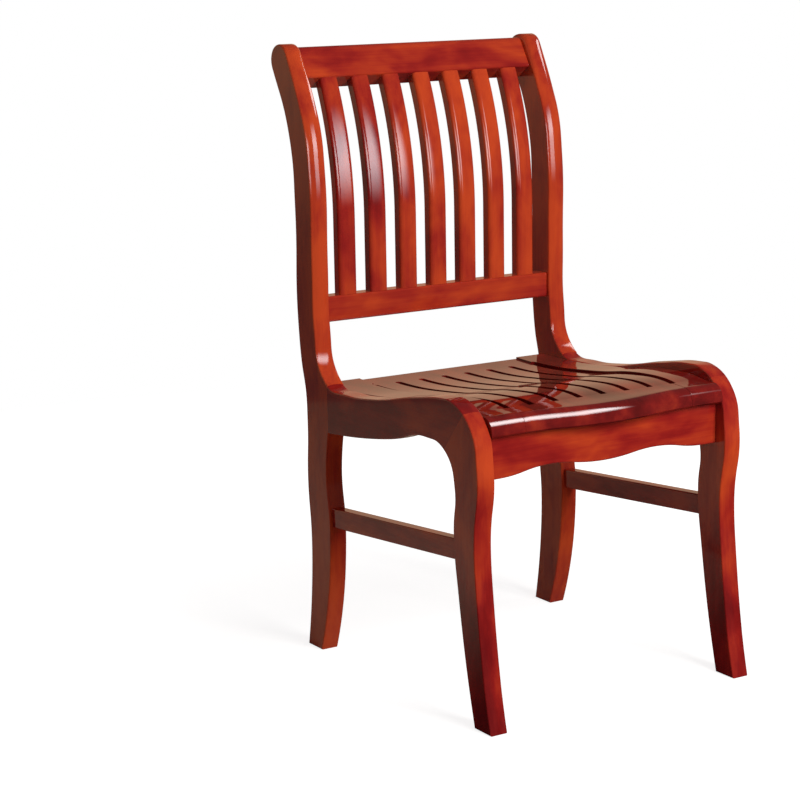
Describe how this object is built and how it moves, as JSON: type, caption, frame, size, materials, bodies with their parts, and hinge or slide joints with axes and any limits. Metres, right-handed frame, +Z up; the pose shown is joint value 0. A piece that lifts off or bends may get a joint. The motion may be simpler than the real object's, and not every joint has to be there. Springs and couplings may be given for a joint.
{
  "type": "wooden office chair",
  "caption": "Armless wooden office chair with S-curved side frames, a leaning slatted back with a rolled top, and a slotted saddle seat over a shaped apron.",
  "frame": {"origin": "on the floor under the middle of the chair's outer box, midway between the side frames", "axes": "+Z up, the chair faces -Y, +X to the sitter's left"},
  "size_m": [0.45, 0.565, 0.9],
  "materials": {
    "lacquered_wood": "red-brown stain under clear high-gloss lacquer",
    "raw_wood": "bare planed hardwood, unfinished",
    "screw_steel": "zinc-plated steel"
  },
  "bodies": {
    "root": {"back_slat_1": "lacquered_wood", "back_slat_2": "lacquered_wood", "back_slat_3": "lacquered_wood", "back_slat_4": "lacquered_wood", "back_slat_5": "lacquered_wood", "back_slat_6": "lacquered_wood", "back_slat_7": "lacquered_wood", "crest_rail": "lacquered_wood", "frame_splines": "raw_wood", "front_apron": "lacquered_wood", "left_front_corner_block": "raw_wood", "left_front_leg": "lacquered_wood", "left_rear_corner_block": "raw_wood", "left_rear_post": "lacquered_wood", "left_seat_strip": "lacquered_wood", "left_side_rail": "lacquered_wood", "left_stretcher": "lacquered_wood", "lower_back_rail": "lacquered_wood", "rear_seat_rail": "lacquered_wood", "right_front_corner_block": "raw_wood", "right_front_leg": "lacquered_wood", "right_rear_corner_block": "raw_wood", "right_rear_post": "lacquered_wood", "right_seat_strip": "lacquered_wood", "right_side_rail": "lacquered_wood", "right_stretcher": "lacquered_wood", "seat_panel": "lacquered_wood", "seat_screws": "screw_steel"}
  },
  "joints": []
}
